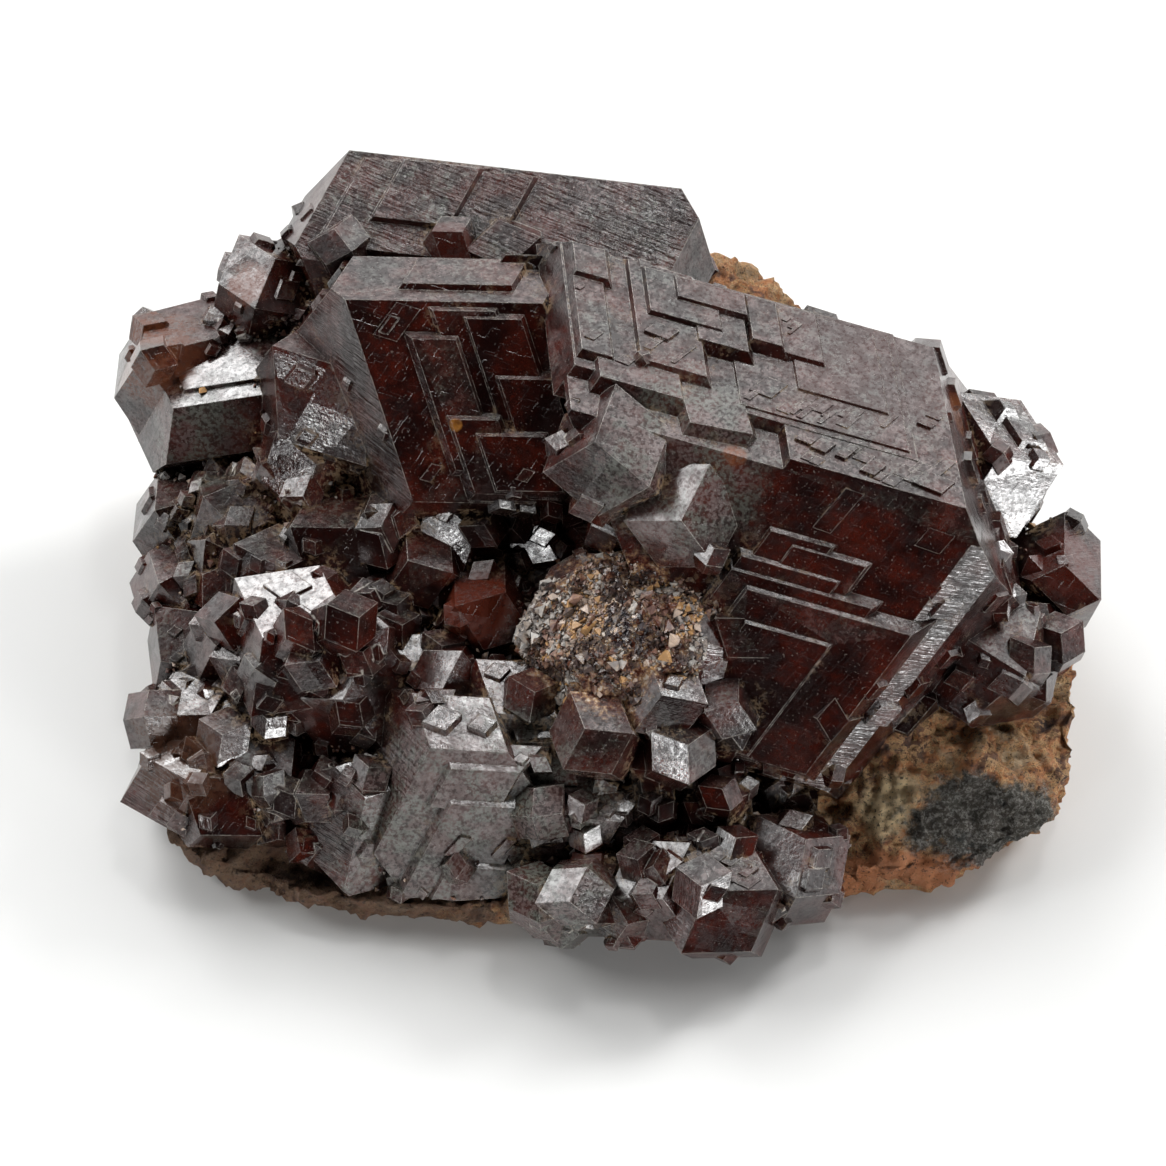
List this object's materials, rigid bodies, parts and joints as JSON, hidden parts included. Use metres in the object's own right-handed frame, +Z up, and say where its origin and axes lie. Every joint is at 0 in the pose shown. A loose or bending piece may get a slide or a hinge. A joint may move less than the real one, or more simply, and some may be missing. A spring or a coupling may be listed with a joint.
{
  "type": "mali garnet cluster",
  "caption": "Mineral specimen: dark red-brown Mali garnets, stepped and grown into one mass, on a piece of orange-brown matrix rock cut off flat below.",
  "frame": {"origin": "on the flat resting face, below the middle of the cluster", "axes": "+Z up from the resting face, +X to the right seen from the best side, +Y away from it"},
  "size_m": [0.061, 0.0464, 0.0265],
  "materials": {
    "dark_garnet": "nearly opaque dark red-brown crystal, satin to glassy, with growth lines",
    "weathered_rock": "rough, weathered orange-brown to black"
  },
  "bodies": {
    "root": {"garnet_crystals": "dark_garnet", "matrix_rock": "weathered_rock"}
  },
  "joints": []
}
